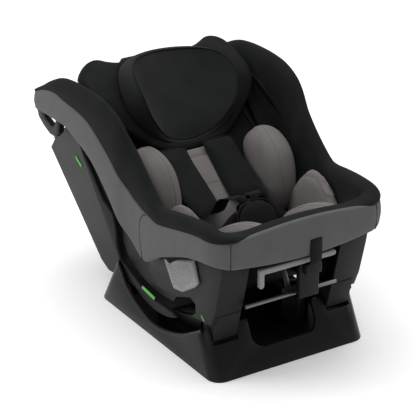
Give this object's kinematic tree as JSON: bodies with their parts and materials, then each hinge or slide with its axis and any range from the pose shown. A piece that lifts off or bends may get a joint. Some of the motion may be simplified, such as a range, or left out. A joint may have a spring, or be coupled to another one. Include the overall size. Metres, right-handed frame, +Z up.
{
  "type": "convertible child car seat",
  "caption": "Reclined child car seat: winged bucket on a rocking cradle base, with height-adjustable headrest, harness, padded cover and infant insert.",
  "frame": {"origin": "on the underside of the base, on its centre line, below the front third of the bucket", "axes": "+Z up, the seat faces -Y, +X towards the left hand of a child in the seat"},
  "size_m": [0.456, 0.7726, 0.5245],
  "materials": {
    "base_plastic": "near-black moulded plastic, fine texture, slight gloss",
    "shell_plastic": "dark grey moulded plastic, fine grain",
    "dark_plastic": "black moulded plastic",
    "light_plastic": "light grey satin moulded plastic",
    "green_plastic": "green belt-path trim",
    "red_plastic": "red release button",
    "steel": "plated steel",
    "rubber": "black rubber",
    "black_fabric": "black fine woven polyester over foam",
    "grey_fabric": "mid grey fine woven polyester over foam",
    "insert_fabric": "warm grey soft knit over foam",
    "webbing": "black woven harness webbing"
  },
  "bodies": {
    "base": {"base_tray": "base_plastic", "guide_rail_left": "base_plastic", "guide_rail_right": "base_plastic", "recline_rack": "steel", "foot_pad_1": "rubber", "foot_pad_2": "rubber", "foot_pad_3": "rubber", "foot_pad_4": "rubber"},
    "seat": {"back_lining": "black_fabric", "back_pad": "insert_fabric", "ear_cushion_left": "insert_fabric", "ear_cushion_right": "insert_fabric", "shoulder_strap_left": "webbing", "shoulder_strap_right": "webbing", "shoulder_pad_left": "black_fabric", "shoulder_pad_right": "black_fabric", "harness_yoke": "steel", "seat_lining": "black_fabric", "seat_pad": "insert_fabric", "hip_cushion_left": "insert_fabric", "hip_cushion_right": "insert_fabric", "bucket_shell": "dark_plastic", "side_panel_left": "shell_plastic", "side_panel_right": "shell_plastic", "front_housing_left": "shell_plastic", "front_housing_right": "shell_plastic", "back_cover": "shell_plastic", "rocker_runner_left": "dark_plastic", "rocker_runner_right": "dark_plastic", "front_beam": "dark_plastic", "cross_rod": "steel", "vent_grille_left": "light_plastic", "vent_grille_right": "light_plastic", "belt_guide_left": "green_plastic", "belt_guide_right": "green_plastic", "belt_path_mark_left": "green_plastic", "belt_path_mark_right": "green_plastic", "cover_band": "grey_fabric", "cover_rim": "black_fabric", "side_lining_left": "black_fabric", "side_lining_right": "black_fabric", "crotch_pad": "black_fabric", "crotch_strap": "webbing", "buckle_body": "dark_plastic", "tongue_left": "dark_plastic", "tongue_right": "dark_plastic", "lap_strap_left": "webbing", "lap_strap_right": "webbing", "adjuster_housing": "dark_plastic", "adjuster_strap": "webbing"},
    "headrest": {"headrest_plate": "dark_plastic", "headrest_pad": "black_fabric", "headrest_rod_left": "steel", "headrest_rod_right": "steel", "headrest_bridge": "dark_plastic"},
    "headrest_lever": {"headrest_lever": "shell_plastic"},
    "recline_handle": {"recline_handle": "light_plastic"},
    "recline_bolt": {"recline_bolt": "steel"},
    "buckle_button": {"buckle_button": "red_plastic"},
    "adjuster_button": {"adjuster_button": "dark_plastic"}
  },
  "joints": [
    {"name": "recline", "type": "hinge", "parent": "base", "child": "seat", "pos_m": [0, 0.025, 0.256], "axis": [-1, 0, 0], "range_deg": [0, 12]},
    {"name": "headrest_height", "type": "slide", "parent": "seat", "child": "headrest", "axis": [0, 0.7431, 0.6691], "range_m": [0, 0.09]},
    {"name": "headrest_lever_squeeze", "type": "slide", "parent": "headrest", "child": "headrest_lever", "axis": [0, 0.7431, 0.6691], "range_m": [0, 0.008], "stiffness_N_per_m": 900, "springref_m": -0.004},
    {"name": "recline_handle_pull", "type": "slide", "parent": "seat", "child": "recline_handle", "axis": [0, -1, 0], "range_m": [0, 0.012], "stiffness_N_per_m": 900, "springref_m": -0.004},
    {"name": "recline_bolt_travel", "type": "slide", "parent": "seat", "child": "recline_bolt", "axis": [0, 0.4802, 0.8771], "range_m": [0, 0.012]},
    {"name": "buckle_press", "type": "slide", "parent": "seat", "child": "buckle_button", "axis": [0, 0.9063, -0.4226], "range_m": [0, 0.004], "stiffness_N_per_m": 1500, "springref_m": -0.002},
    {"name": "adjuster_press", "type": "slide", "parent": "seat", "child": "adjuster_button", "axis": [0, 0, -1], "range_m": [0, 0.004], "stiffness_N_per_m": 1500, "springref_m": -0.002}
  ],
  "couplings": [
    {"joint": "recline_bolt_travel", "follows": "recline_handle_pull", "ratio": 0.95}
  ]
}
